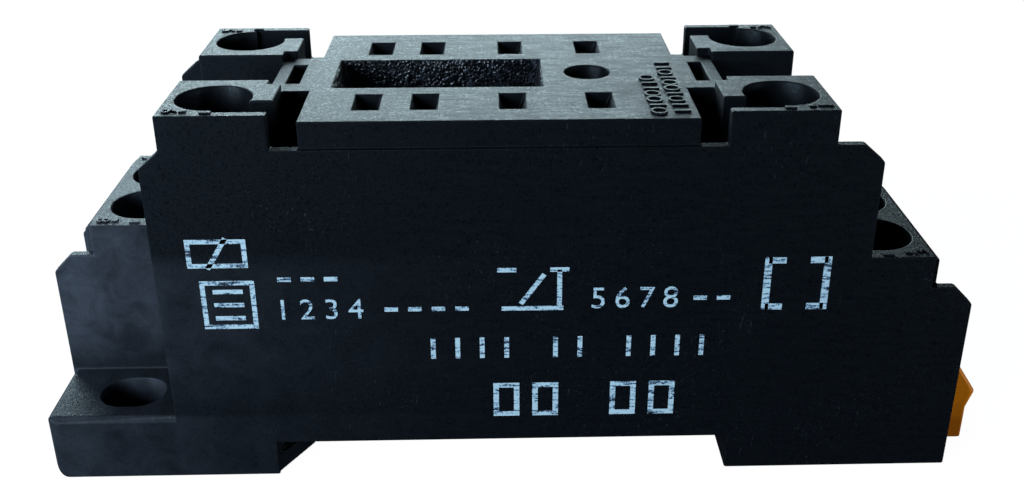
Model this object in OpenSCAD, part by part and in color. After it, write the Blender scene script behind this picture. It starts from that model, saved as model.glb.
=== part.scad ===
// Two-pole relay socket for a 35 mm rail, in millimetres, standing on its feet.
// X runs along the socket, -Y is its front and +Z is up.
// Everything is laid out from the middle of the housing and then moved by shift_x,
// so that the origin lies under the middle of the whole socket, clip included.

/* [Housing] */
// Length over the lower terminal tiers
housing_l = 70.8; // [70:0.1:80]
// Width of the housing
housing_w = 22.6; // [22.2:0.1:27]
// Height from the feet to the tops of the terminal blocks
housing_h = 30; // [29.6:0.1:34]
// Thickness of the outer walls and of the barriers between terminals
wall = 0.8; // [0.6:0.05:1]
// Length of the raised middle with the upper terminals
upper_l = 50.6; // [50:0.1:53]
// Height of the shoulder below the tops of the terminal blocks
block_rise = 2.6; // [1.6:0.1:3.4]
// Length of each upper terminal block
block_l = 7.7; // [7.4:0.05:8.2]
// Width of the open gap between two blocks
block_gap = 6.4; // [5.6:0.1:7.4]
// Length of the slope at the end of the shoulder
end_slope_l = 1.5; // [1:0.05:1.8]
// Drop of that slope
end_slope_h = 1.3; // [0.8:0.05:2]
// Reach of the cheek fin past the raised middle
fin_reach = 2; // [1.4:0.1:3]

/* [Lower tiers] */
// Height of the tier tops
tier_h = 18.5; // [17.5:0.1:19]
// Width of a tier
tier_w = 15.2; // [15:0.1:15.6]
// Height of the step from the tier top down to the cheeks' ledge
step_h = 2.55; // [2:0.05:2.6]
// Thickness of the cover plate over the lower clamps
plate_t = 2.8; // [2.7:0.05:3]
// Distance from the end of the housing back to the cheek's step
step_inset = 3.25; // [2.8:0.05:3.6]
// Distance by which the cover plate passes that step
plate_lip = 0.6; // [0.3:0.05:0.8]
// Slope at the outer corner of the cheeks
cheek_slope = 1.4; // [0.8:0.1:2]
// Height of the sill below the lower wire entries, over the strips' floor
sill_h = 0.5; // [0.2:0.1:0.8]
// Height of the mounting flange
flange_h = 5.5; // [4:0.1:7]
// Radius of the flange's upright corner
flange_r = 1; // [0.5:0.1:2]
// Radius of the flange's bottom edge
flange_edge_r = 1.2; // [0.5:0.1:2]
// Bevel along the flange's upper edges
flange_bevel = 0.4; // [0.2:0.05:0.6]
// Width of the slotted screw hole
slot_w = 4.2; // [3.6:0.1:4.6]
// Length of the slotted screw hole
slot_l = 5; // [4.8:0.1:6]
// Distance of the slotted hole from the end of the housing
slot_inset = 5.9; // [5.4:0.1:6.4]
// Distance of the slotted hole from the side of the housing
slot_side = 3.8; // [3.2:0.1:4]

/* [Relay seat] */
// Length of the relay seat
seat_l = 28.14; // [27.6:0.02:28.6]
// Drop of the seat's sides inside the side walls
seat_side = 0.24; // [0.1:0.02:0.4]
// Drop of the seat below the tops of the terminal blocks
seat_drop = 0.6; // [0.2:0.1:1.4]
// Width of the tongues at the seat's ends
tongue_w = 8.4; // [7.4:0.1:8.8]
// Length of each tongue
tongue_l = 3.06; // [2.9:0.02:3.3]
// Depth of each tongue's edge
tongue_t = 3.5; // [2.8:0.1:4.5]
// Undercut below the tongue's edge
tongue_undercut = 0.4; // [0.1:0.05:0.6]
// Distance of the hold-down slot from the tongue's end
hold_inset = 1; // [0.8:0.05:1.1]
// Length of the hold-down slot across each tongue
hold_l = 4.7; // [3:0.1:5.4]
// Width of the hold-down slot
hold_w = 1.03; // [0.8:0.01:1.2]
// Depth of the hold-down slot
hold_d = 6; // [3:0.5:7]
// Length of the recess in the seat
recess_l = 15.94; // [12:0.02:16.4]
// Width of that recess
recess_w = 7.1; // [5:0.1:8]
// Depth of that recess
recess_d = 3; // [2.2:0.1:4]
// Draft of the recess's left end, over its depth
recess_draft_left = 1.25; // [0.5:0.05:1.5]
// Draft of its right end
recess_draft_right = 0.55; // [0.3:0.05:1]
// Draft of its front and rear walls together
recess_draft_w = 0.4; // [0.2:0.05:0.8]
// Place of the recess along the seat
recess_x = -4.61; // [-5:0.01:-4]
// Diameter of the round key hole
key_d = 3.54; // [3:0.02:4]
// Depth of the key hole
key_depth = 12; // [6:0.5:13]
// Place of the key hole along the seat
key_x = 6.87; // [6.4:0.01:7.4]

/* [Blade contacts] */
// Distance of each row of blades from the middle line
row_y = 6.85; // [6.7:0.05:7]
// Place of the right outer column, fed by the right upper terminals
blade_right_outer = 7.35; // [7:0.05:8]
// Place of the right inner column, fed by the right lower terminals
blade_right_inner = 0.98; // [0.6:0.02:1.4]
// Distance left of the middle of the left outer column
blade_left_outer = 9.55; // [9.4:0.05:10]
// Distance left of the middle of the left inner column
blade_left_inner = 5.38; // [5:0.02:5.6]
// Length of a blade slot's mouth
mouth_l = 3.45; // [3.2:0.05:3.7]
// Width of a blade slot's mouth
mouth_w = 2; // [1.6:0.1:2.2]
// Length of the throat below it
throat_l = 2.9; // [2.4:0.1:3.1]
// Width of the throat
throat_w = 1.1; // [0.8:0.05:1.3]
// Depth of the tapered mouth
funnel_d = 1; // [0.5:0.1:1.4]
// Depth of mouth and throat together
throat_d = 2.2; // [1.8:0.1:2.8]
// Width of a forked contact
fork_w = 2.8; // [2.2:0.1:3]
// Breadth of a fork's base
fork_base = 2.4; // [2:0.1:2.6]
// Thickness of a fork's metal
fork_t = 0.4; // [0.3:0.05:0.5]
// Gap between a fork's arms where they grip the blade
fork_grip = 0.3; // [0.2:0.05:0.5]
// Height of the straight foot of a fork's arms
fork_foot_h = 1.6; // [1:0.1:2.4]
// Height of the flared lead-in at a fork's tips
fork_lead_h = 1.4; // [1:0.1:2]

/* [Terminals] */
// Diameter of the upper screw wells
upper_well_d = 5.5; // [5.3:0.05:5.8]
// Diameter of the lower screw wells
lower_well_d = 5.75; // [5.4:0.05:5.8]
// Distance of the upper wells from the outer faces of their blocks
upper_well_inset = 3.4; // [3.3:0.05:3.7]
// Distance of the lower wells from the end of the housing
lower_well_inset = 6.77; // [6.6:0.01:6.9]
// Distance between the two lower wells of a tier
lower_pitch = 6.66; // [6.64:0.02:6.8]
// Height of the upper pads' top faces
upper_pad_z = 20.5; // [20:0.1:21]
// Height of the lower pads' top faces
lower_pad_z = 10.5; // [10.1:0.1:11]
// Width of the upper clamp chambers
chamber_w = 6.3; // [6:0.05:6.4]
// Length of a terminal pad
pad_l = 6.2; // [5.8:0.1:6.4]
// Thickness of the terminal strips
strip_t = 1.2; // [0.8:0.1:1.4]
// Width of the upper strips between pad and contact
strip_w = 2; // [1.4:0.1:2.1]
// Clearance between metal and moulding
gap = 0.1; // [0.05:0.01:0.15]

/* [Clamps and screws] */
// Thread diameter
screw_d = 3; // [2.5:0.1:3.2]
// Length of the screw under its head
screw_l = 8; // [6:0.5:8]
// Diameter of the screw head
head_d = 5; // [4.6:0.1:5.1]
// Height of the screw head
head_h = 2; // [1.4:0.1:2.2]
// Width of the driver slot
driver_w = 0.8; // [0.6:0.1:1]
// Side of the square clamp washer
clamp_w = 5.4; // [5.1:0.1:5.5]
// Thickness of the clamp washer
clamp_t = 0.8; // [0.6:0.1:1]
// Clearance of the screw in a terminal's hole
screw_gap = 0.05; // [0.03:0.01:0.1]
// Clearance of the screw in the moulding below
tip_gap = 0.4; // [0.3:0.05:0.5]

/* [Rail] */
// Width of the slot for the rail
rail_w = 35.4; // [35.2:0.1:36]
// Depth of that slot
rail_d = 3; // [2.6:0.1:3.2]
// Reach of the fixed hook below the rail's edge
hook_reach = 2.2; // [1.6:0.1:3]
// Thickness of the fixed hook
hook_t = 1.4; // [1:0.1:1.5]
// Length of the hook's straight edge
hook_w = 14.2; // [10:0.2:16]
// Length of the hook where it leaves the foot
hook_root_w = 21.8; // [18:0.2:22]
// Thickness of the base cover
cover_t = 1.5; // [1.2:0.1:1.8]
// Margin of the base cover inside the rail slot and the side walls
cover_margin = 0.4; // [0.2:0.1:0.6]
// Diameter of the posts that hold the base cover
post_d = 2.8; // [2:0.1:3]
// Distance of the posts from the middle of the housing
post_x = 13.5; // [12:0.1:14]
// Distance of the posts from the middle line
post_y = 5; // [4.4:0.1:6]

/* [Rail clip] */
// Width of the sliding plate
clip_w = 8; // [7:0.1:9]
// Place of the clip across the foot
clip_y = -2.3; // [-2.6:0.1:-1.6]
// Height of the underside of the clip over the ground
clip_lift = 0.3; // [0.2:0.05:0.5]
// Thickness of the sliding plate
clip_t = 1.9; // [1.6:0.05:2]
// Reach of the guide edges on both sides of the plate
guide_w = 0.8; // [0.5:0.1:1]
// Thickness of the guide edges
guide_t = 1; // [0.7:0.05:1.1]
// Length of the guide edges
guide_l = 12; // [9:0.1:12.2]
// Running clearance round the clip
clip_gap = 0.2; // [0.15:0.05:0.25]
// Reach of the nose below the rail's edge
nose_reach = 2.1; // [1.6:0.1:2.6]
// Thickness of the nose
nose_t = 1; // [0.8:0.05:1.1]
// Height of the lead-in under the nose
nose_lead = 0.6; // [0.3:0.05:0.7]
// Outward travel of the clip
clip_travel = 3; // [2.5:0.1:3.2]
// Width of the pull tab
tab_w = 12; // [10:0.2:13]
// Reach of the pull tab past the housing
tab_reach = 3; // [2.6:0.1:4]
// Height of the pull tab
tab_h = 8.2; // [7:0.1:9]
// Height of the tab's outermost edge
tab_edge_z = 4.8; // [4:0.1:6]
// Setback of the tab's lower face behind that edge
tab_setback = 0.5; // [0.2:0.05:0.8]
// Height of the tab's upright lower face
tab_foot_z = 3.3; // [2:0.1:3.8]
// Width of the screwdriver slot in the tab
pry_w = 5; // [4:0.1:6]
// Breadth of the screwdriver slot
pry_t = 1.2; // [1:0.1:1.4]
// Depth of the screwdriver slot
pry_d = 3.5; // [2:0.1:4]
// Width of the slots that free the two spring legs
leg_slot_w = 0.9; // [0.6:0.1:1.2]
// Width of each spring leg
leg_w = 1.2; // [0.8:0.1:1.6]
// Length of each spring leg
leg_l = 9; // [6:0.1:10]

/* [Hidden] */
$fn = 64;
// Overshoot of a cut past the face that it opens
cut = 1;

// Places along X
end_x = housing_l / 2;
upper_x = upper_l / 2;
block_x = upper_x - end_slope_l;
block_in_x = block_x - block_l;
seat_x = seat_l / 2;
tongue_x = seat_x + tongue_l;
rail_x = rail_w / 2;
step_x = end_x - step_inset;
upper_well_x = block_x - upper_well_inset;
lower_well_x = end_x - lower_well_inset;
lower_chamber_x = lower_well_x - pad_l / 2 - gap;
shift_x = -tab_reach / 2;

// Places along Y
side_y = housing_w / 2;
inner_y = side_y - wall;
tier_y = tier_w - side_y;
chamber_in_y = inner_y - chamber_w;
upper_well_y = inner_y - chamber_w / 2;
barrier_y = (tier_y - side_y) / 2;
lower_chamber_w = (tier_w - 3 * wall) / 2;
strip_y = inner_y - 2 * gap - strip_w / 2;

// Heights
shoulder_z = housing_h - block_rise;
seat_z = housing_h - seat_drop;
upper_floor_z = upper_pad_z - strip_t;
lower_floor_z = lower_pad_z - strip_t;
ledge_z = tier_h - step_h;
plate_z = tier_h - plate_t;
fork_top_z = seat_z - throat_d;
cover_top_z = rail_d + cover_t;

// The wells and contacts of the right end: two upper ones, then the outer and inner lower ones.
// The left end is the right one turned half round, with blade columns of its own.
wells = [
    [upper_well_x, -upper_well_y],
    [upper_well_x, upper_well_y],
    [lower_well_x, barrier_y - lower_pitch / 2],
    [lower_well_x, barrier_y + lower_pitch / 2],
];
outer_columns = [blade_right_outer, blade_left_outer];
inner_columns = [blade_right_inner, blade_left_inner];

function is_upper(place) = place < 2;
function pad_z(place) = is_upper(place) ? upper_pad_z : lower_pad_z;
function fork_at(end, place) = [
    is_upper(place) ? outer_columns[end] : inner_columns[end],
    place % 2 == 0 ? -row_y : row_y,
];

kinds = ["terminal", "contact", "clamp", "screw"];

// A box given by its limits along each axis
module box(x, y, z) {
    translate([x[0], y[0], z[0]]) cube([x[1] - x[0], y[1] - y[0], z[1] - z[0]]);
}

// An outline in X and Z, drawn out between two limits along Y
module along_y(y) {
    translate([0, y[1], 0]) rotate([90, 0, 0]) linear_extrude(y[1] - y[0]) children();
}

// An outline in Y and Z, drawn out between two limits along X
module along_x(x) {
    translate([x[0], 0, 0]) rotate([90, 0, 90]) linear_extrude(x[1] - x[0]) children();
}

module both_ends() {
    children();
    rotate([0, 0, 180]) children();
}

module both_sides() {
    children();
    mirror([0, 1, 0]) children();
}

// Moves a sub-part to its end of the socket, the right one first, and to the origin's place
module at_end(end) {
    translate([shift_x, 0, 0]) rotate([0, 0, 180 * end]) children();
}

// Upright rod at a place in X and Y, from height bottom to height top
module rod(at, d, bottom, top) {
    translate([at[0], at[1], bottom]) cylinder(h = top - bottom, d = d);
}

// Rectangle from the origin whose far corner is rounded
module rounded_corner(l, w, r) {
    square([l - r, w]);
    square([l, w - r]);
    translate([l - r, w - r]) circle(r);
}

// Trapezium that narrows downwards from the origin
module taper(top, bottom, depth) {
    polygon([[-top / 2, 0], [top / 2, 0], [bottom / 2, -depth], [-bottom / 2, -depth]]);
}

// ---- Housing, outer form ----

module middle_profile() {
    polygon([
        [-cut, 0],
        [upper_x, 0],
        [upper_x, shoulder_z - end_slope_h],
        [block_x, shoulder_z],
        [-cut, shoulder_z],
    ]);
}

// The cheek fin beside the upper wire entry, over the lower tier
module fin_profile() {
    polygon([
        [block_x, tier_h - cut],
        [upper_x + fin_reach, tier_h - cut],
        [upper_x + fin_reach, shoulder_z - end_slope_h],
        [upper_x + fin_reach - end_slope_l, shoulder_z],
        [block_x, shoulder_z],
    ]);
}

module tier_profile() {
    polygon([
        [upper_x - cut, 0],
        [end_x, 0],
        [end_x, ledge_z - cheek_slope],
        [end_x - cheek_slope, ledge_z],
        [step_x, ledge_z],
        [step_x, tier_h],
        [upper_x - cut, tier_h],
    ]);
}

// The cover plate with its bevelled lip, between the cheeks
module plate_profile() {
    polygon([
        [upper_x - cut, plate_z],
        [step_x + plate_lip, plate_z],
        [step_x + plate_lip, tier_h - plate_lip],
        [step_x, tier_h],
        [upper_x - cut, tier_h],
    ]);
}

module flange_bevel_cut(across) {
    translate([across, flange_h]) rotate(45) square(flange_bevel * sqrt(2), center = true);
}

module flange() {
    difference() {
        intersection() {
            along_y([tier_y - cut, side_y])
                translate([upper_x - cut, flange_h])
                    mirror([0, 1])
                        rounded_corner(end_x - upper_x + cut, flange_h, flange_edge_r);
            translate([upper_x - cut, tier_y - cut, 0])
                linear_extrude(flange_h)
                    rounded_corner(end_x - upper_x + cut, side_y - tier_y + cut, flange_r);
        }
        along_x([upper_x, end_x + cut]) flange_bevel_cut(side_y);
        along_y([tier_y, side_y + cut]) flange_bevel_cut(end_x);
    }
}

// One end of the housing with its tier, blocks, fin and flange
module end_body() {
    along_y([-side_y, side_y]) middle_profile();
    both_sides() box([block_in_x, block_x], [block_gap / 2, side_y], [shoulder_z - cut, housing_h]);
    box([-cut, seat_x], [seat_side - side_y, side_y - seat_side], [shoulder_z - cut, seat_z]);
    along_y([-side_y, tier_y]) tier_profile();
    along_y([wall - side_y, tier_y - wall]) plate_profile();
    along_y([-side_y, -inner_y]) fin_profile();
    flange();
}

// ---- Housing, cuts at one end ----

// Chamber behind an upper wire entry, its well and the way of its strip to the seat
module upper_chamber() {
    box([block_in_x + wall, upper_x + cut], [chamber_in_y, inner_y], [upper_floor_z, shoulder_z]);
    box([block_x, upper_x + cut], [chamber_in_y, inner_y], [upper_floor_z, housing_h + cut]);
    rod([upper_well_x, upper_well_y], upper_well_d, upper_floor_z, housing_h + cut);
    box([block_in_x, upper_well_x], [strip_y - strip_w / 2 - 2 * gap, inner_y],
        [upper_floor_z, housing_h + cut]);
    box([seat_x, block_in_x], [chamber_in_y, inner_y], [upper_floor_z, housing_h + cut]);
    box([seat_x, block_in_x], [chamber_in_y - tongue_undercut, inner_y],
        [upper_floor_z, seat_z - tongue_t]);
    box([seat_x, block_in_x], [inner_y - cut, side_y + cut], [shoulder_z, housing_h + cut]);
}

// Chamber behind a lower wire entry, with the sill at its mouth
module lower_chamber(y) {
    difference() {
        box([lower_chamber_x, end_x + cut], [y, y + lower_chamber_w],
            [lower_floor_z, plate_z]);
        box([lower_well_x + pad_l / 2 + gap, end_x + 2 * cut], [y - cut, y + lower_chamber_w + cut],
            [0, lower_floor_z + sill_h]);
    }
    box([step_x + plate_lip, end_x + cut], [y, y + lower_chamber_w], [lower_pad_z, tier_h + cut]);
}

module flange_slot() {
    translate([end_x - slot_inset, side_y - slot_side, -cut]) {
        for (side = [-1, 1])
            translate([side * (slot_l - slot_w) / 2, 0, 0])
                cylinder(h = flange_h + 2 * cut, d = slot_w);
        translate([(slot_w - slot_l) / 2, -slot_w / 2, 0])
            cube([slot_l - slot_w, slot_w, flange_h + 2 * cut]);
    }
}

module hold_down_slot() {
    x = tongue_x - hold_inset;
    box([x - hold_w, x], [-hold_l / 2, hold_l / 2], [seat_z - hold_d, seat_z + cut]);
}

module end_cuts() {
    both_sides() upper_chamber();
    for (y = [-inner_y, barrier_y + wall / 2]) lower_chamber(y);
    for (place = [2, 3]) rod(wells[place], lower_well_d, plate_z, tier_h + cut);
    for (place = [0 : 3])
        rod(wells[place], screw_d + 2 * tip_gap, pad_z(place) + clamp_t - screw_l - tip_gap,
            pad_z(place));
    hold_down_slot();
    flange_slot();
}

// ---- Housing, tongues, contact pockets and rail side ----

// Tongue at the end of the seat, let into the notched corners of the blocks
module tongue() {
    box([seat_x - cut, tongue_x], [-tongue_w / 2, tongue_w / 2], [shoulder_z - cut, seat_z]);
}

module tongue_notch() {
    box([block_in_x - cut, tongue_x], [-tongue_w / 2, tongue_w / 2], [seat_z, housing_h + cut]);
}

// Tapered slot for one relay blade
module blade_slot() {
    translate([0, 0, seat_z]) intersection() {
        along_y([-mouth_l, mouth_l]) taper(mouth_w, throat_w, funnel_d);
        along_x([-mouth_w, mouth_w]) taper(mouth_l, throat_l, funnel_d);
    }
    translate([0, 0, seat_z]) linear_extrude(cut) square([mouth_w, mouth_l], center = true);
    box([-throat_w / 2, throat_w / 2], [-throat_l / 2, throat_l / 2], [fork_top_z - cut, seat_z]);
}

// Recess in the middle of the seat, its four walls drafted for the mould
module seat_recess() {
    left = recess_x - recess_l / 2;
    right = recess_x + recess_l / 2;
    translate([0, 0, seat_z]) intersection() {
        along_y([-recess_w, recess_w])
            polygon([
                [left, 0],
                [right, 0],
                [right - recess_draft_right, -recess_d],
                [left + recess_draft_left, -recess_d],
            ]);
        along_x([left, right]) taper(recess_w, recess_w - recess_draft_w, recess_d);
    }
    box([left, right], [-recess_w / 2, recess_w / 2], [seat_z, seat_z + cut]);
}

// Room for one fork and for the strip or riser that it stands on
module contact_pocket(end, place) {
    at = fork_at(end, place);
    side = sign(at[1]);
    room_x = fork_base / 2 + 5 * gap;
    room_y = fork_w / 2 + 5 * gap;
    translate([at[0], at[1], 0]) {
        blade_slot();
        box([-room_x, room_x], [-room_y, room_y], [upper_pad_z - gap, fork_top_z]);
    }
    if (is_upper(place))
        scale([1, side, 1]) {
            box([at[0] - room_x, at[0] + room_x], [row_y - room_y, inner_y],
                [upper_floor_z, upper_pad_z + gap]);
            box([at[0], seat_x + cut], [strip_y - strip_w / 2 - 2 * gap, inner_y],
                [upper_floor_z, upper_pad_z + gap]);
        }
    else
        lower_way(end, place);
}

// Way of a lower strip and its riser, open downwards over the base cover
module lower_way(end, place) {
    grow = 2 * gap;
    lower_strip(end, place, grow);
    at = fork_at(end, place);
    w = fork_w / 2 + grow;
    well = wells[place];
    box([at[0] - w, rail_x - cover_margin], [strip_line(place) - w, strip_line(place) + w],
        [rail_d, lower_pad_z + gap]);
    box([at[0] - w, at[0] + w], [min(at[1], well[1]) - w, max(at[1], well[1]) + w],
        [rail_d, lower_pad_z + gap]);
}

module hook() {
    translate([-rail_x, 0, 0])
        linear_extrude(hook_t)
            polygon([
                [-cut, -hook_root_w / 2],
                [0, -hook_root_w / 2],
                [hook_reach, -hook_w / 2],
                [hook_reach, hook_w / 2],
                [0, hook_root_w / 2],
                [-cut, hook_root_w / 2],
            ]);
}

module cover_outline(margin) {
    square([rail_w - 2 * margin, 2 * (inner_y - margin)], center = true);
}

// The T-shaped guide for the clip, closed at its outer end except for the plate
module clip_guide() {
    half = clip_w / 2 + clip_gap;
    top = clip_lift + clip_t + clip_gap;
    stop_x = rail_x + guide_l + clip_travel + 3 * clip_gap;
    box([rail_x - cut, end_x + cut], [clip_y - half, clip_y + half], [-cut, top]);
    box([rail_x - cut, stop_x], [clip_y - half - guide_w, clip_y + half + guide_w],
        [clip_lift + clip_t - guide_t - clip_gap, top]);
}

module housing() {
    color("#14161b") translate([shift_x, 0, 0]) {
        difference() {
            union() {
                both_ends() end_body();
                both_ends() tongue();
            }
            both_ends() end_cuts();
            both_ends() tongue_notch();
            for (end = [0, 1], place = [0 : 3])
                rotate([0, 0, 180 * end]) contact_pocket(end, place);
            seat_recess();
            rod([key_x, 0], key_d, seat_z - key_depth, seat_z + cut);
            box([-rail_x, rail_x], [-side_y - cut, side_y + cut], [-cut, rail_d]);
            translate([0, 0, rail_d - cut]) linear_extrude(cover_t + cut) cover_outline(cover_margin - gap);
            clip_guide();
        }
        both_ends() rod([post_x, post_y], post_d, rail_d, cover_top_z + cut);
        hook();
    }
}

// ---- Base cover ----

module base_cover() {
    color("#1d1f24") translate([shift_x, 0, 0]) {
        difference() {
            translate([0, 0, rail_d]) linear_extrude(cover_t) cover_outline(cover_margin);
            both_ends() rod([post_x, post_y], post_d + 2 * gap, rail_d - cut, cover_top_z + cut);
        }
        for (end = [0, 1], place = [2, 3])
            rotate([0, 0, 180 * end]) support(fork_at(end, place));
    }
}

// Stub of the cover that bears the end of a lower strip
module support(at) {
    half = fork_w / 2 - 2 * gap;
    box([at[0] - half, at[0] + half], [at[1] - half, at[1] + half],
        [cover_top_z - cover_t / 2, lower_floor_z]);
}

// ---- Rail clip ----

module tab_profile() {
    x = end_x + clip_gap;
    outer_x = end_x + tab_reach;
    polygon([
        [x, clip_lift],
        [outer_x - tab_setback, clip_lift],
        [outer_x - tab_setback, tab_foot_z],
        [outer_x, tab_edge_z],
        [x + tab_setback, tab_h],
        [x, tab_h],
    ]);
}

// Nose that hooks under the rail, with its lead-in from below
module nose_profile() {
    x = rail_x - nose_reach;
    polygon([
        [rail_x + cut, clip_lift],
        [x + nose_lead, clip_lift],
        [x, clip_lift + nose_lead],
        [x, clip_lift + nose_t],
        [rail_x + cut, clip_lift + nose_t],
    ]);
}

module din_clip() {
    half = clip_w / 2;
    plate_x = rail_x + clip_gap;
    top = clip_lift + clip_t;
    guide_x = plate_x + guide_l;
    leg_y = half + guide_w - leg_w;
    color("#c8780a") translate([shift_x, clip_y, 0])
        difference() {
            union() {
                box([plate_x, end_x + clip_gap + cut], [-half, half], [clip_lift, top]);
                box([plate_x, guide_x], [-half - guide_w, half + guide_w], [top - guide_t, top]);
                along_y([-half, half]) nose_profile();
                along_y([-tab_w / 2, tab_w / 2]) tab_profile();
            }
            both_sides() {
                box([guide_x - leg_l, guide_x + leg_slot_w], [leg_y - leg_slot_w, leg_y],
                    [0, top + cut]);
                box([guide_x, guide_x + leg_slot_w], [leg_y - leg_slot_w, half + cut],
                    [0, top + cut]);
            }
            translate([end_x + tab_reach / 2, 0, tab_h - pry_d])
                box([-pry_t / 2, pry_t / 2], [-pry_w / 2, pry_w / 2], [0, pry_d + cut]);
        }
}

// ---- Terminals ----

// Line along which a lower strip runs inwards from its pad
function strip_line(place) = wells[place][1];

// Flat strip and riser of a lower terminal, grown by a clearance for its way in the housing
module lower_strip(end, place, grow) {
    at = fork_at(end, place);
    y = strip_line(place);
    w = fork_w / 2 + grow;
    t = strip_t / 2 + grow;
    box([at[0] - w, lower_well_x], [y - w, y + w], [lower_floor_z, lower_pad_z + grow]);
    box([at[0] - w, at[0] + w], [min(y, at[1]) - w, max(y, at[1]) + w],
        [lower_floor_z, lower_pad_z + grow]);
    box([at[0] - t, at[0] + t], [at[1] - w, at[1] + w], [lower_floor_z, upper_pad_z]);
}

module upper_strip(end, place) {
    at = fork_at(end, place);
    scale([1, sign(at[1]), 1]) {
        box([at[0], upper_well_x], [strip_y - strip_w / 2, strip_y + strip_w / 2],
            [upper_floor_z, upper_pad_z]);
        box([at[0] - fork_base / 2, at[0] + fork_base / 2], [row_y - fork_w / 2, strip_y + strip_w / 2],
            [upper_floor_z, upper_pad_z]);
    }
}

module pad(place) {
    well = wells[place];
    y = is_upper(place)
        ? sign(well[1]) * upper_well_y
        : barrier_y + (place == 2 ? -1 : 1) * (wall + lower_chamber_w) / 2;
    w = (is_upper(place) ? chamber_w : lower_chamber_w) / 2 - gap;
    box([well[0] - pad_l / 2, well[0] + pad_l / 2], [y - w, y + w],
        [pad_z(place) - strip_t, pad_z(place)]);
}

module terminal(end, place) {
    color("#c2a05a") at_end(end) difference() {
        union() {
            pad(place);
            if (is_upper(place)) upper_strip(end, place);
            else lower_strip(end, place, 0);
        }
        rod(wells[place], screw_d + 2 * screw_gap, pad_z(place) - strip_t - cut, pad_z(place) + cut);
    }
}

// ---- Forked contacts ----

// A U of sheet metal whose arms lean in to their grip and flare out at the top
module fork_profile(h) {
    foot = fork_base / 2;
    grip = fork_grip / 2;
    arm = [
        [foot, 0],
        [foot, fork_foot_h],
        [grip + fork_t, h - fork_lead_h],
        [grip + 2 * fork_t, h],
        [grip + fork_t, h],
        [grip, h - fork_lead_h],
        [foot - fork_t, fork_foot_h],
        [foot - fork_t, fork_t],
    ];
    other_arm = [for (i = [len(arm) - 1 : -1 : 0]) [-arm[i][0], arm[i][1]]];
    polygon(concat(arm, other_arm));
}

module contact(end, place) {
    at = fork_at(end, place);
    color("#d0b070") at_end(end) translate([at[0], at[1], upper_pad_z])
        along_y([-fork_w / 2, fork_w / 2]) fork_profile(fork_top_z - 2 * gap - upper_pad_z);
}

// ---- Clamps and screws ----

module clamp(end, place) {
    at = wells[place];
    z = pad_z(place);
    color("#b9bcbf") at_end(end) difference() {
        translate([at[0], at[1], z + clamp_t / 2]) cube([clamp_w, clamp_w, clamp_t], center = true);
        rod(at, screw_d + 4 * screw_gap, z - cut, z + clamp_t + cut);
    }
}

module screw(end, place) {
    at = wells[place];
    color("#a9acb0") at_end(end) translate([at[0], at[1], pad_z(place) + clamp_t]) {
        difference() {
            cylinder(h = head_h, d = head_d);
            translate([0, 0, head_h]) {
                cube([head_d + cut, driver_w, head_h], center = true);
                cube([driver_w, head_d * 0.6, head_h], center = true);
            }
        }
        translate([0, 0, -screw_l]) cylinder(h = screw_l + head_h / 4, d = screw_d);
    }
}

housing();
base_cover();
din_clip();
for (number = [1 : 8]) {
    end = floor((number - 1) / 4);
    place = (number - 1) % 4;
    terminal(end, place);
    contact(end, place);
    clamp(end, place);
    screw(end, place);
}
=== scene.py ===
import math
import random

import bmesh
import bpy
from mathutils import Euler, Matrix, Vector


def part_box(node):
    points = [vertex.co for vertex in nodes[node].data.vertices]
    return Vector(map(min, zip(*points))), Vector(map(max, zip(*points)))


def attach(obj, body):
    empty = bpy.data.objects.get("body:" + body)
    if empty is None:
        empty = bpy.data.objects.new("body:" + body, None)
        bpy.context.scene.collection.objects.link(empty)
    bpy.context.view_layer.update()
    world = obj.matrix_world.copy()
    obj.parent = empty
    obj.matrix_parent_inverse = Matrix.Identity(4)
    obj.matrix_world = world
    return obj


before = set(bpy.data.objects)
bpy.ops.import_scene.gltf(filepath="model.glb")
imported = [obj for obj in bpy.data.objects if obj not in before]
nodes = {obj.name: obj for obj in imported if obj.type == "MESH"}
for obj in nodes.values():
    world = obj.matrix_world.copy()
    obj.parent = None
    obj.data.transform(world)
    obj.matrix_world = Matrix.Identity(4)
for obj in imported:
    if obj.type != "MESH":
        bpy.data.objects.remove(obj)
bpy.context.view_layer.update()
mm = 0.001
low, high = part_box("housing")
middle = (low + high) / 2                        # the housing's middle, a little left of the origin
seatZ = high.z - 0.6 * mm                        # the relay seat lies just under the block tops


def place(x, y, z):
    return Vector((middle.x + x * mm, middle.y + y * mm, z * mm))


# Camera and surroundings

cameraSet = {
    "stand": (-0.376, -88.844, 56.961),          # millimetres from under the housing's middle
    "pitch": 25.788,                             # degrees down
    "yaw": 1.608,                                # degrees to the right
    "lens": 41.63,
    "shiftX": -0.0135,
}


def makeCamera(opts):
    data = bpy.data.cameras.new("camera")
    data.lens = opts["lens"]
    data.shift_x = opts["shiftX"]
    data.clip_start = 0.005
    camera = bpy.data.objects.new("camera", data)
    camera.location = place(*opts["stand"])
    camera.rotation_euler = Euler((math.radians(90 - opts["pitch"]), 0, -math.radians(opts["yaw"])))
    bpy.context.collection.objects.link(camera)
    bpy.context.scene.camera = camera


makeCamera(cameraSet)
print("camera set")


# Materials

def linear(code, alpha=1.0):
    parts = [int(code[i:i + 2], 16) / 255 for i in (1, 3, 5)]
    return [c / 12.92 if c <= 0.04045 else ((c + 0.055) / 1.055) ** 2.4 for c in parts] + [alpha]


def addNode(tree, kind, settings=None, links=None):
    node = tree.nodes.new(kind)
    for key, value in (settings or {}).items():
        if isinstance(key, int) or key in node.inputs:
            node.inputs[key].default_value = value
        else:
            setattr(node, key, value)
    for key, source in (links or {}).items():
        tree.links.new(source, node.inputs[key])
    return node


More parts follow.
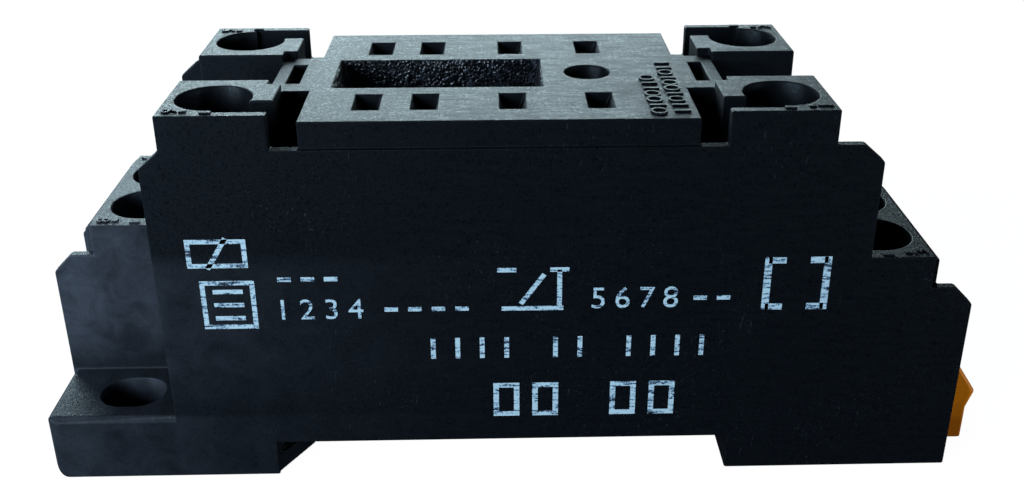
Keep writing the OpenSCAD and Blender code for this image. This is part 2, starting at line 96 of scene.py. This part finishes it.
def setRamp(node, stops):
    ramp = node.color_ramp
    while len(ramp.elements) < len(stops):
        ramp.elements.new(0.5)
    for element, (spot, shade) in zip(ramp.elements, stops):
        element.position = spot
        element.color = shade if len(shade) == 4 else (*shade, 1)
    return node


def newMaterial(name):
    material = bpy.data.materials.new(name)
    material.use_nodes = True
    tree = material.node_tree
    shader = tree.nodes["Principled BSDF"]
    return material, tree, shader


def perMetre(size):
    return 1000 / size                           # noise scale for features of that many millimetres


blackLook = {
    "base": "#030509",
    "dust": "#39424F",                           # scuffs and bare glass fibres catch the light
    "paintedSheen": "#2F3845",                           # painted sheen: a lighter grey towards the left end, standing in for light that falls there
    "paintedSheenFrom": 12,                              # millimetres along X where the painted sheen fades out
    "paintedSheenTo": -38,
    # share of the painted sheen by height above the floor, smallest on the tops
    "paintedSheenAtHeight": ((0.0, 0.7), (5.4, 0.7), (5.8, 0.25), (10, 1), (18.3, 1), (19.5, 0.12)),
    "paintedSheenOnFront": 0.55,                               # share of the painted sheen left on the outermost faces
    "grain": 0.30,                               # crazed skin, a little coarse so that it shows
    "crazeDepth": 0.1,
    "flow": 2.4,
    "hair": 0.14,                                # scratches: size, directions, length, edge
    "hairTurns": (0.5, -0.9, 1.7),
    "hairStretch": 12,
    "hairEdge": (0.66, 0.74),
    "patch": 9.0,                                # the scratches come in patches
    "onWalls": 0.25,                             # share of the crazing left on upright walls
    "streak": 0.45,                              # flow lines drawn out along X
    "drag": 5,
    "streakFrom": 2,                             # millimetres along X where the streaks fade out
    "streakTo": -16,
    "rough": (0.30, 0.62),
    "level": 0.10,
    "tint": "#BFE4FF",
}


# Glass-filled polyamide, injection moulded: blue-black and half glossy, with a fine crazed skin
# on faces that lie flat, flow streaks, a painted sheen that lightens the left end and patches of
# hair scratches
def mouldedPolyamide(name, opts):
    material, tree, shader = newMaterial(name)
    coords = addNode(tree, "ShaderNodeTexCoord")
    where = coords.outputs["Object"]
    flow = addNode(tree, "ShaderNodeTexNoise",
                   {"Scale": perMetre(opts["flow"]), "Detail": 5, "Roughness": 0.65,
                    "Distortion": 0.6},
                   {"Vector": where})
    grain = addNode(tree, "ShaderNodeTexNoise",
                    {"Scale": perMetre(opts["grain"]), "Detail": 4, "Roughness": 0.8,
                     "Distortion": 0.4},
                    {"Vector": where})
    patch = addNode(tree, "ShaderNodeTexNoise", {"Scale": perMetre(opts["patch"]), "Detail": 2},
                    {"Vector": where})
    drawn = addNode(tree, "ShaderNodeMapping",
                    {"vector_type": "TEXTURE", "Scale": (opts["drag"], 1, 1)}, {"Vector": where})
    streak = addNode(tree, "ShaderNodeTexNoise",
                     {"Scale": perMetre(opts["streak"]), "Detail": 4, "Roughness": 0.7,
                      "Distortion": 0.3},
                     {"Vector": drawn.outputs[0]})
    streaks = addNode(tree, "ShaderNodeMapRange",
                      {"From Min": 0.38, "From Max": 0.6, "To Min": 0.35},
                      {"Value": streak.outputs[0]})
    scratches = []
    for turn in opts["hairTurns"]:
        turned = addNode(tree, "ShaderNodeMapping",
                         {"vector_type": "TEXTURE", "Rotation": (0.2, turn, 0.4),
                          "Scale": (opts["hairStretch"], 1, 1)},
                         {"Vector": where})
        hair = addNode(tree, "ShaderNodeTexNoise",
                       {"Scale": perMetre(opts["hair"]), "Detail": 3, "Roughness": 0.7},
                       {"Vector": turned.outputs[0]})
        thin = setRamp(addNode(tree, "ShaderNodeValToRGB", {}, {"Fac": hair.outputs[0]}),
                       list(zip(opts["hairEdge"], ((0, 0, 0), (1, 1, 1)))))
        scratches.append(thin.outputs["Color"])
    pair = addNode(tree, "ShaderNodeMath", {"operation": "MAXIMUM"},
                   {0: scratches[0], 1: scratches[1]})
    hairs = addNode(tree, "ShaderNodeMath", {"operation": "MAXIMUM"},
                    {0: pair.outputs[0], 1: scratches[2]})
    worn = setRamp(addNode(tree, "ShaderNodeValToRGB", {}, {"Fac": patch.outputs[0]}),
                   [(0.46, (0.02, 0.02, 0.02)), (0.72, (0.5, 0.5, 0.5))])
    amount = addNode(tree, "ShaderNodeMath", {"operation": "MULTIPLY"},
                     {0: hairs.outputs[0], 1: worn.outputs["Color"]})
    along = addNode(tree, "ShaderNodeSeparateXYZ", {}, {"Vector": where})
    # Painted sheen: the base colour lightens towards the left end, in place of light falling there
    fade = addNode(tree, "ShaderNodeMapRange",
                   {"From Min": opts["paintedSheenFrom"] * mm, "From Max": opts["paintedSheenTo"] * mm},
                   {"Value": along.outputs["X"]})
    leftward = addNode(tree, "ShaderNodeMapRange",
                       {"From Min": opts["streakFrom"] * mm, "From Max": opts["streakTo"] * mm,
                        "To Max": 0.9},
                       {"Value": along.outputs["X"]})
    cloudy = addNode(tree, "ShaderNodeMapRange",
                     {"From Min": 0.3, "From Max": 0.7, "To Min": 0.35,
                      "To Max": 1.1}, {"Value": flow.outputs[0]})
    cubed = addNode(tree, "ShaderNodeMath", {"operation": "POWER", 1: 3}, {0: fade.outputs[0]})
    tall = addNode(tree, "ShaderNodeMath", {"operation": "DIVIDE", 1: high.z},
                   {0: along.outputs["Z"]})
    sheenByHeight = setRamp(addNode(tree, "ShaderNodeValToRGB", {}, {"Fac": tall.outputs[0]}),
                      [(spot * mm / high.z, (share, share, share)) for spot,
                       share in opts["paintedSheenAtHeight"]])
    outer = addNode(tree, "ShaderNodeMapRange",
                    {"From Min": low.y + 0.2 * mm, "From Max": low.y + 0.5 * mm,
                     "To Min": opts["paintedSheenOnFront"]},
                    {"Value": along.outputs["Y"]})
    paintedSheen = cubed
    for factor in (sheenByHeight.outputs["Color"], outer.outputs[0], cloudy.outputs[0]):
        paintedSheen = addNode(tree, "ShaderNodeMath", {"operation": "MULTIPLY"},
                       {0: paintedSheen.outputs[0], 1: factor})
    # base colour mixed with the painted sheen
    sheened = addNode(tree, "ShaderNodeMix",
                   {"data_type": "RGBA", 6: linear(opts["base"]),
                    7: linear(opts["paintedSheen"])}, {0: paintedSheen.outputs[0]})
    skin = addNode(tree, "ShaderNodeMix", {"data_type": "RGBA", 7: linear(opts["dust"])},
                   {0: amount.outputs[0], 6: sheened.outputs[2]})
    tree.links.new(skin.outputs[2], shader.inputs["Base Color"])
    craze = addNode(tree, "ShaderNodeMath", {"operation": "SUBTRACT", 1: 0.5},
                    {0: grain.outputs[0]})
    ridge = addNode(tree, "ShaderNodeMath", {"operation": "ABSOLUTE"}, {0: craze.outputs[0]})
    facing = addNode(tree, "ShaderNodeSeparateXYZ", {}, {"Vector": coords.outputs["Normal"]})
    lying = addNode(tree, "ShaderNodeMapRange",
                    {"From Min": 0.5, "From Max": 0.9, "To Min": opts["onWalls"]},
                    {"Value": facing.outputs["Z"]})
    shallow = addNode(tree, "ShaderNodeMath", {"operation": "MULTIPLY"},
                      {0: ridge.outputs[0], 1: lying.outputs[0]})
    cells = addNode(tree, "ShaderNodeMapRange", {"From Max": opts["crazeDepth"]},
                    {"Value": ridge.outputs[0]})
    evened = addNode(tree, "ShaderNodeMath", {"operation": "MAXIMUM"},
                     {0: streaks.outputs[0], 1: leftward.outputs[0]})
    streaked = addNode(tree, "ShaderNodeMath", {"operation": "MULTIPLY"},
                       {0: cells.outputs[0], 1: evened.outputs[0]})
    gloss = addNode(tree, "ShaderNodeMapRange",
                    {"To Min": opts["rough"][1], "To Max": opts["rough"][0]},
                    {"Value": streaked.outputs[0]})
    tree.links.new(gloss.outputs[0], shader.inputs["Roughness"])
    wide = addNode(tree, "ShaderNodeBump", {"Strength": 0.2, "Distance": 0.03 * mm},
                   {"Height": flow.outputs[0]})
    fine = addNode(tree, "ShaderNodeBump", {"Strength": 1, "Distance": 0.1 * mm},
                   {"Height": shallow.outputs[0], "Normal": wide.outputs[0]})
    tree.links.new(fine.outputs[0], shader.inputs["Normal"])
    shader.inputs["Specular IOR Level"].default_value = opts["level"]
    shader.inputs["Specular Tint"].default_value = linear(opts["tint"])
    return material


clipLook = {"base": "#C07404", "dark": "#9A5802", "cloud": 3.0, "grain": 0.12, "rough": 0.42,
            "level": 0.2}


# Acetal, moulded: an even orange with a waxy gloss
def mouldedAcetal(opts):
    material, tree, shader = newMaterial("orange moulded acetal")
    where = addNode(tree, "ShaderNodeTexCoord").outputs["Object"]
    cloud = addNode(tree, "ShaderNodeTexNoise", {"Scale": perMetre(opts["cloud"]), "Detail": 3},
                    {"Vector": where})
    tint = setRamp(addNode(tree, "ShaderNodeValToRGB", {}, {"Fac": cloud.outputs[0]}),
                   [(0.35, linear(opts["dark"])), (0.6, linear(opts["base"]))])
    tree.links.new(tint.outputs[0], shader.inputs["Base Color"])
    grain = addNode(tree, "ShaderNodeTexNoise", {"Scale": perMetre(opts["grain"]), "Detail": 2},
                    {"Vector": where})
    bump = addNode(tree, "ShaderNodeBump", {"Strength": 0.1, "Distance": 0.02 * mm},
                   {"Height": grain.outputs[0]})
    tree.links.new(bump.outputs[0], shader.inputs["Normal"])
    shader.inputs["Roughness"].default_value = opts["rough"]
    shader.inputs["Specular IOR Level"].default_value = opts["level"]
    return material


metalLook = {
    "brass": {"light": "#D9B36A", "dark": "#A67C3A", "grain": 0.3, "stretch": 12, "rough": 0.28},
    "bronze": {"light": "#D8C39A", "dark": "#A98E5E", "grain": 0.2, "stretch": 8, "rough": 0.24},
    "zinc": {"light": "#C9CCD2", "dark": "#8E9298", "grain": 0.25, "stretch": 4, "rough": 0.3},
}


# Sheet or turned metal: fine drawn lines run along X and break up the gloss
def drawnMetal(name, opts):
    material, tree, shader = newMaterial(name)
    where = addNode(tree, "ShaderNodeTexCoord").outputs["Object"]
    drawn = addNode(tree, "ShaderNodeMapping", {"Scale": (1 / opts["stretch"], 1, 1)},
                    {"Vector": where})
    lines = addNode(tree, "ShaderNodeTexNoise", {"Scale": perMetre(opts["grain"]), "Detail": 4},
                    {"Vector": drawn.outputs[0]})
    tint = setRamp(addNode(tree, "ShaderNodeValToRGB", {}, {"Fac": lines.outputs[0]}),
                   [(0.3, linear(opts["dark"])), (0.6, linear(opts["light"]))])
    tree.links.new(tint.outputs[0], shader.inputs["Base Color"])
    gloss = addNode(tree, "ShaderNodeMapRange",
                    {"To Min": opts["rough"] - 0.08, "To Max": opts["rough"] + 0.16},
                    {"Value": lines.outputs[0]})
    tree.links.new(gloss.outputs[0], shader.inputs["Roughness"])
    bump = addNode(tree, "ShaderNodeBump", {"Strength": 0.15, "Distance": 0.01 * mm},
                   {"Height": lines.outputs[0]})
    tree.links.new(bump.outputs[0], shader.inputs["Normal"])
    shader.inputs["Metallic"].default_value = 1
    return material


inkLook = {"ink": "#7E9FB4", "thin": "#3D5A78", "worn": "#0B1018", "wear": 0.16, "scrape": 1.1,
           "rough": 0.55, "level": 0.2}


# Pad-printed ink, rubbed thin so that the black shows through in specks and scrapes
def wornInk(opts):
    material, tree, shader = newMaterial("worn pad-printed ink")
    where = addNode(tree, "ShaderNodeTexCoord").outputs["Object"]
    specks = addNode(tree, "ShaderNodeTexNoise",
                     {"Scale": perMetre(opts["wear"]), "Detail": 5, "Roughness": 0.75},
                     {"Vector": where})
    slanted = addNode(tree, "ShaderNodeMapping", {"Rotation": (0, 0.9, 0), "Scale": (1, 1, 6)},
                      {"Vector": where})
    scrapes = addNode(tree, "ShaderNodeTexNoise", {"Scale": perMetre(opts["scrape"]), "Detail": 3},
                      {"Vector": slanted.outputs[0]})
    both = addNode(tree, "ShaderNodeMath", {"operation": "ADD"},
                   {0: specks.outputs[0], 1: scrapes.outputs[0]})
    tint = setRamp(addNode(tree, "ShaderNodeValToRGB", {}, {"Fac": both.outputs[0]}),
                   [(0.80, linear(opts["worn"])), (0.90, linear(opts["thin"])),
                    (1.12, linear(opts["ink"]))])
    tree.links.new(tint.outputs[0], shader.inputs["Base Color"])
    shader.inputs["Roughness"].default_value = opts["rough"]
    shader.inputs["Specular IOR Level"].default_value = opts["level"]
    return material


blackPlastic = mouldedPolyamide("black moulded polyamide", blackLook)
orangePlastic = mouldedAcetal(clipLook)
brass = drawnMetal("stamped brass strip", metalLook["brass"])
bronze = drawnMetal("tinned bronze spring sheet", metalLook["bronze"])
zinc = drawnMetal("zinc plated steel", metalLook["zinc"])
ink = wornInk(inkLook)
print("materials made")


# Dressing of the construction's own pieces

finishOf = {
    "housing": blackPlastic, "base_cover": blackPlastic, "din_clip": orangePlastic,
    "terminal": brass, "contact": bronze, "clamp": zinc, "screw": zinc,
}
edgeRound = {
    "housing": 0.12, "base_cover": 0.15, "din_clip": 0.3,
    "clamp": 0.1, "screw": 0.12, "terminal": 0.06,
}
sharpEdge = math.radians(35)
sliver = {"fromMiddle": 34.1, "wall": 3.9, "near": 0.05, "height": 1.3}


# Marks every sharp edge for rounding, but not those of the slivers where the flange's rounded
# corner runs out against the square foot: a rounding there would shoot past the corner
def edgeMarks(opts):
    tree = bpy.data.node_groups.new("edge marks", "GeometryNodeTree")
    for way in ("INPUT", "OUTPUT"):
        tree.interface.new_socket("Geometry", in_out=way, socket_type="NodeSocketGeometry")

    angle = addNode(tree, "GeometryNodeInputMeshEdgeAngle")
    sharp = addNode(tree, "ShaderNodeMath", {"operation": "GREATER_THAN", 1: sharpEdge},
                    {0: angle.outputs["Unsigned Angle"]})
    where = addNode(tree, "GeometryNodeInputPosition")
    spot = addNode(tree, "ShaderNodeSeparateXYZ", {}, {"Vector": where.outputs[0]}).outputs
    centred = addNode(tree, "ShaderNodeMath", {"operation": "SUBTRACT", 1: middle.x},
                      {0: spot["X"]})
    apart = addNode(tree, "ShaderNodeMath", {"operation": "ABSOLUTE"}, {0: centred.outputs[0]})
    far = addNode(tree, "ShaderNodeMath", {"operation": "GREATER_THAN", 1: opts["fromMiddle"] * mm},
                  {0: apart.outputs[0]})
    across = addNode(tree, "ShaderNodeMath", {"operation": "ABSOLUTE"}, {0: spot["Y"]})
    touching = addNode(tree, "ShaderNodeMath",
                       {"operation": "COMPARE", 1: opts["wall"] * mm, 2: opts["near"] * mm},
                       {0: across.outputs[0]})
    under = addNode(tree, "ShaderNodeMath", {"operation": "LESS_THAN", 1: opts["height"] * mm},
                    {0: spot["Z"]})
    spared = far
    for test in (touching, under):
        spared = addNode(tree, "ShaderNodeMath", {"operation": "MULTIPLY"},
                         {0: spared.outputs[0], 1: test.outputs[0]})
    marked = addNode(tree, "ShaderNodeMath", {"operation": "SUBTRACT", "use_clamp": True},
                     {0: sharp.outputs[0], 1: spared.outputs[0]})
    stored = addNode(tree, "GeometryNodeStoreNamedAttribute",
                     {"data_type": "FLOAT", "domain": "EDGE", "Name": "bevel_weight_edge"},
                     {"Geometry": addNode(tree, "NodeGroupInput").outputs[0],
                      "Value": marked.outputs[0]})
    addNode(tree, "NodeGroupOutput", {}, {0: stored.outputs[0]})
    return tree


housingEdges = edgeMarks(sliver)


def dress(name, node):
    kind = name if name in finishOf else name.rsplit("_", 1)[0]
    node.data.materials.clear()
    node.data.materials.append(finishOf[kind])
    if kind in edgeRound:
        weld = node.modifiers.new("weld", "WELD")
        weld.merge_threshold = 0.001 * mm
        if kind == "housing":
            node.modifiers.new("edge marks", "NODES").node_group = housingEdges
        bevel = node.modifiers.new("round edges", "BEVEL")
        bevel.width = edgeRound[kind] * mm
        bevel.segments = 2
        bevel.limit_method = "WEIGHT" if kind == "housing" else "ANGLE"
        bevel.angle_limit = sharpEdge
        bevel.use_clamp_overlap = False
        bevel.harden_normals = True


for name, node in nodes.items():
    dress(name, node)
print("pieces dressed")


# Recess lining, spark-eroded

recessSet = {
    "x": (-12.58, 3.36), "y": 3.55, "depth": 3.0,
    "draft": (1.25, 0.55, 0.2),                  # left, right, front and rear
    "off": 0.012, "below": 0.03,                 # clear of the walls, and under the seat
    "rough": 0.07, "towards": 28,                # facets are pushed towards a point at Z 28
    "step": 0.16,
}


# Spark-eroded polyamide: a rough black skin whose tiny facets glitter, with painted glints as
# lighter specks in its colour
def erodedSkin(name, opts):
    material, tree, shader = newMaterial(name)
    where = addNode(tree, "ShaderNodeTexCoord").outputs["Object"]
    pits = addNode(tree, "ShaderNodeTexVoronoi", {"Scale": perMetre(opts["pit"])},
                   {"Vector": where})
    clump = addNode(tree, "ShaderNodeTexNoise", {"Scale": perMetre(opts["clump"]), "Detail": 2},
                    {"Vector": where})
    level = addNode(tree, "ShaderNodeMapRange", {"From Min": 0.4, "From Max": 0.6},
                    {"Value": clump.outputs[0]})
    spots = addNode(tree, "ShaderNodeMath", {"operation": "MULTIPLY"},
                    {0: level.outputs[0], 1: pits.outputs["Color"]})
    # painted glints: lighter specks in clumps stand in for light caught by the facets
    tint = setRamp(addNode(tree, "ShaderNodeValToRGB", {}, {"Fac": spots.outputs[0]}),
                   [(0.45, linear(opts["base"])), (0.85, linear(opts["paintedGlint"]))])
    tree.links.new(tint.outputs[0], shader.inputs["Base Color"])
    bump = addNode(tree, "ShaderNodeBump", {"Strength": 0.8, "Distance": 0.08 * mm},
                   {"Height": pits.outputs["Distance"]})
    tree.links.new(bump.outputs[0], shader.inputs["Normal"])
    shader.inputs["Roughness"].default_value = 0.3
    shader.inputs["Specular IOR Level"].default_value = 0.3
    shader.inputs["Specular Tint"].default_value = linear(opts["tint"])
    return material


skinLook = {"pit": 0.22, "clump": 1.4, "base": "#010204", "paintedGlint": "#1C232E", "tint": "#C9E4FF"}


# One open tray that follows the drafted walls a hair inside them, broken up into small facets
def makeRecess(opts):
    luck = random.Random(11)
    left, right = opts["x"]
    draftLeft, draftRight, draftSide = opts["draft"]
    off = opts["off"]
    top, floor = seatZ - opts["below"] * mm, seatZ - (opts["depth"] - off) * mm
    bm = bmesh.new()
    bmesh.ops.create_cube(bm, size=1)
    lid = max(bm.faces, key=lambda face: face.calc_center_median().z)
    bmesh.ops.delete(bm, geom=[lid], context="FACES_ONLY")
    for vert in bm.verts:
        deep = vert.co.z < 0
        x = left + off + draftLeft * deep if vert.co.x < 0 else right - off - draftRight * deep
        y = (opts["y"] - off - draftSide * deep) * (1 if vert.co.y > 0 else -1)
        spot = place(x, y, 0)
        vert.co = (spot.x, spot.y, floor if deep else top)
    for _ in range(7):
        long = [edge for edge in bm.edges if edge.calc_length() > 1.5 * opts["step"] * mm]
        if not long:
            break
        bmesh.ops.subdivide_edges(bm, edges=long, cuts=1, use_grid_fill=True)
    bmesh.ops.triangulate(bm, faces=bm.faces[:])
    bmesh.ops.reverse_faces(bm, faces=bm.faces[:])
    middlePoint = place((left + right) / 2, 0, opts["towards"])
    for vert in [v for v in bm.verts if not v.is_boundary]:
        vert.co += (middlePoint - vert.co).normalized() * luck.random() * opts["rough"] * mm
    return addPiece("recess_lining", bm, erodedSkin("spark-eroded polyamide", skinLook))


# Raised marks on the mouldings

def addPiece(name, bm, material, body="base"):
    mesh = bpy.data.meshes.new(name)
    bm.to_mesh(mesh)
    bm.free()
    mesh.materials.append(material)
    piece = bpy.data.objects.new(name, mesh)
    bpy.context.collection.objects.link(piece)
    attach(piece, body)
    return piece


def addBlock(bm, size, at, turn=0.0):
    made = bmesh.ops.create_cube(bm, size=1)["verts"]
    bmesh.ops.scale(bm, vec=[side * mm for side in size], verts=made)
    edges = list({edge for vert in made for edge in vert.link_edges})
    rounded = bmesh.ops.bevel(bm, geom=edges, offset=min(size) * 0.25 * mm, segments=1,
                              affect="EDGES", profile=0.5, material=-1)["verts"]
    made = [vert for vert in set(made) | set(rounded) if vert.is_valid]
    bmesh.ops.rotate(bm, matrix=Matrix.Rotation(turn, 3, "Z"), verts=made)
    bmesh.ops.translate(bm, vec=at, verts=made)


def addDigit(bm, text, size, thick, matrix):
    curve = bpy.data.curves.new("digit", "FONT")
    curve.body = text
    curve.size = size * mm
    curve.extrude = thick / 2 * mm
    curve.align_x = "CENTER"
    curve.align_y = "CENTER"
    holder = bpy.data.objects.new("digit", curve)
    mesh = bpy.data.meshes.new_from_object(holder)
    mesh.transform(matrix)
    bm.from_mesh(mesh)
    bpy.data.objects.remove(holder)
    bpy.data.curves.remove(curve)
    bpy.data.meshes.remove(mesh)


sink = 0.02                                      # raised marks sit this deep in the surface
tierTop = 18.5
marksSet = {
    "digit": 1.6, "raise": 0.14,
    "dot": (0.5, 0.5), "dotAway": 1.0,
    "bar": (0.8, 0.4), "barAway": 2.6, "barAside": 0.35,
}
ribsSet = {
    "raise": 0.16, "ring": 1.75, "bar": (1.2, 0.34),
    "columns": {11.35: "0100110", 12.95: "1101001011"}, "first": -9.6, "pitch": 1.28,
}


def makeMarks(opts):
    bm = bmesh.new()
    tall = opts["raise"]
    upper, lower = high.z, tierTop * mm
    corners = [("1", 22.9, -10.4, upper), ("2", 22.9, 10.4, upper),
               ("3", 31.3, -10.4, lower), ("4", 31.3, 3.0, lower),
               ("5", -22.9, 10.4, upper), ("6", -22.9, -10.4, upper),
               ("7", -31.3, 10.4, lower), ("8", -31.3, -3.0, lower)]
    for text, x, y, z in corners:
        side = math.copysign(1, x)
        spot = place(x, y, 0)
        spot.z = z + (tall / 2 - sink) * mm
        turn = Matrix.Rotation(side * math.pi / 2, 4, "Z")
        addDigit(bm, text, opts["digit"], tall, Matrix.Translation(spot) @ turn)
        dot = spot - Vector((side * opts["dotAway"] * mm, 0, 0))
        addBlock(bm, (*opts["dot"], tall), dot)
        aside = math.copysign(opts["barAside"], y)
        bar = spot - Vector((side * opts["barAway"] * mm, -aside * mm, 0))
        addBlock(bm, (*opts["bar"], tall), bar)
    bmesh.ops.remove_doubles(bm, verts=bm.verts, dist=0.0001 * mm)
    addPiece("terminal_numbers", bm, blackPlastic)


# Two raised rows of plain bars and rings, read from the right-hand end
def makeRibs(opts):
    bm = bmesh.new()
    turn = Matrix.Rotation(math.pi / 2, 4, "Z")
    for column, row in opts["columns"].items():
        for step, text in enumerate(row):
            spot = place(column, opts["first"] + step * opts["pitch"], 0)
            spot.z = seatZ + (opts["raise"] / 2 - sink) * mm
            if text == "1":
                addBlock(bm, (*opts["bar"], opts["raise"]), spot)
            else:
                addDigit(bm, "O", opts["ring"], opts["raise"], Matrix.Translation(spot) @ turn)
    addPiece("seat_ribs", bm, blackPlastic)


# Worn print on the front wall: plain numbers and simple shapes

printSet = {"wall": 11.3, "thick": 0.02, "bite": 0.018}   # the ink bites into the wall by 0.002 mm


def makePrint(opts):
    bm = bmesh.new()
    upright = Matrix.Rotation(math.pi / 2, 4, "X")

    def put(x, z, turn=0.0):
        spot = place(x, -opts["wall"], z)
        spot.y += (opts["thick"] / 2 - opts["bite"]) * mm
        return Matrix.Translation(spot) @ Matrix.Rotation(turn, 4, "Y") @ upright

    def stroke(x, z, wide, tall, turn=0.0):
        made = bmesh.ops.create_grid(bm, x_segments=1, y_segments=1, size=0.5)["verts"]
        bmesh.ops.scale(bm, vec=(wide * mm, tall * mm, 1), verts=made)
        bmesh.ops.transform(bm, matrix=put(x, z, turn), verts=made)

    def outline(x, z, wide, tall, line):
        for side in (-1, 1):
            stroke(x + side * (wide - line) / 2, z, line, tall)
            stroke(x, z + side * (tall - line) / 2, wide - 2 * line, line)

    def number(text, x, z, size):
        addDigit(bm, text, size, opts["thick"], put(x, z))

    line = 0.36
    outline(-20.6, 19.5, 4.4, 2.3, line)              # coil
    stroke(-20.6, 19.5, line, 2.9, 0.55)
    outline(-20.1, 15.3, 4.0, 4.0, line)              # framed legend
    for level in (14.2, 15.3, 16.4):
        stroke(-20.1, level, 2.2, line)
    for step in range(3):
        stroke(-15.9 + step * 1.7, 17.35, 1.0, line)
    for step, text in enumerate("1234"):
        number(text, -16.2 + step * 1.8, 14.75, 2.4)
    for step in range(4):
        stroke(-8.2 + step * 1.75, 14.75, 1.0, line)
    stroke(2.3, 14.7, 4.6, line)                      # changeover contact
    stroke(2.3, 16.3, line, 3.0, 0.62)
    stroke(0.4, 17.9, 1.4, line)
    stroke(4.3, 17.9, 1.4, line)
    stroke(4.3, 16.4, line, 3.0)
    for step, text in enumerate("5678"):
        number(text, 7.2 + step * 1.8, 15.4, 2.5)
    for step in range(2):
        stroke(14.8 + step * 1.75, 15.4, 1.0, line)
    for side in (-1, 1):                              # brackets
        stroke(21.9 + side * 2.2, 16.5, 0.55, 4.4)
        for level in (-1, 1):
            stroke(21.9 + side * 1.55, 16.5 + level * 1.93, 1.3, 0.52)
    for step in range(12):
        if step not in (4, 7):
            stroke(-5.2 + step * 1.85, 11.35, line, 1.8)
    for step in range(5):
        if step != 2:
            outline(0.3 + step * 3.0, 6.7, 2.0, 3.0, 0.42)
    addPiece("wall_print", bm, ink)


makeRecess(recessSet)
makeMarks(marksSet)
makeRibs(ribsSet)
makePrint(printSet)
print("marks and print made")


# Floor, lights and surroundings

surroundings = {"floor": 1.2, "grey": "#34373A", "glow": 0.98, "world": 0.03}


def makeFloor(opts):
    bm = bmesh.new()
    bmesh.ops.create_grid(bm, x_segments=1, y_segments=1, size=opts["floor"])
    mesh = bpy.data.meshes.new("floor")
    bm.to_mesh(mesh)
    bm.free()
    material, tree, shader = newMaterial("pale floor")
    shader.inputs["Base Color"].default_value = linear(opts["grey"])
    shader.inputs["Roughness"].default_value = 0.9
    shader.inputs["Specular IOR Level"].default_value = 0
    rays = addNode(tree, "ShaderNodeLightPath")
    seen = addNode(tree, "ShaderNodeMath", {"operation": "MULTIPLY", 1: opts["glow"]},
                   {0: rays.outputs["Is Camera Ray"]})
    tree.links.new(seen.outputs[0], shader.inputs["Emission Strength"])
    shader.inputs["Emission Color"].default_value = (1, 1, 1, 1)
    mesh.materials.append(material)
    floor = bpy.data.objects.new("floor", mesh)
    bpy.context.collection.objects.link(floor)


lamps = {
    "key": {"at": (-210, -190, 90), "size": (170, 140), "power": 1.8, "colour": "#FFFFFF"},
    "side": {"at": (330, -190, 40), "size": (160, 80), "power": 0.8, "colour": "#FFFFFF"},
    "back": {"at": (-100, 420, 140), "size": (500, 240), "power": 3.9, "colour": "#DCF7FF"},
}


def makeLamp(name, opts):
    data = bpy.data.lights.new(name, "AREA")
    data.shape = "RECTANGLE"
    data.size, data.size_y = [side * mm for side in opts["size"]]
    data.energy = opts["power"]
    data.color = linear(opts["colour"])[:3]
    lamp = bpy.data.objects.new(name, data)
    lamp.location = Vector(opts["at"]) * mm
    aim = Vector((0, 0, 0.012)) - lamp.location
    lamp.rotation_euler = aim.to_track_quat("-Z", "Y").to_euler()
    bpy.context.collection.objects.link(lamp)


def makeWorld(strength):
    world = bpy.data.worlds.new("studio")
    world.use_nodes = True
    tree = world.node_tree
    rays = addNode(tree, "ShaderNodeLightPath")
    seen = addNode(tree, "ShaderNodeMath", {"operation": "MAXIMUM", 1: strength},
                   {0: rays.outputs["Is Camera Ray"]})
    ground = tree.nodes["Background"]
    ground.inputs["Color"].default_value = (1, 1, 1, 1)
    tree.links.new(seen.outputs[0], ground.inputs["Strength"])
    bpy.context.scene.world = world


makeFloor(surroundings)
for name, opts in lamps.items():
    makeLamp(name, opts)
makeWorld(surroundings["world"])
bpy.context.scene.view_settings.view_transform = "Standard"
print("studio lit")
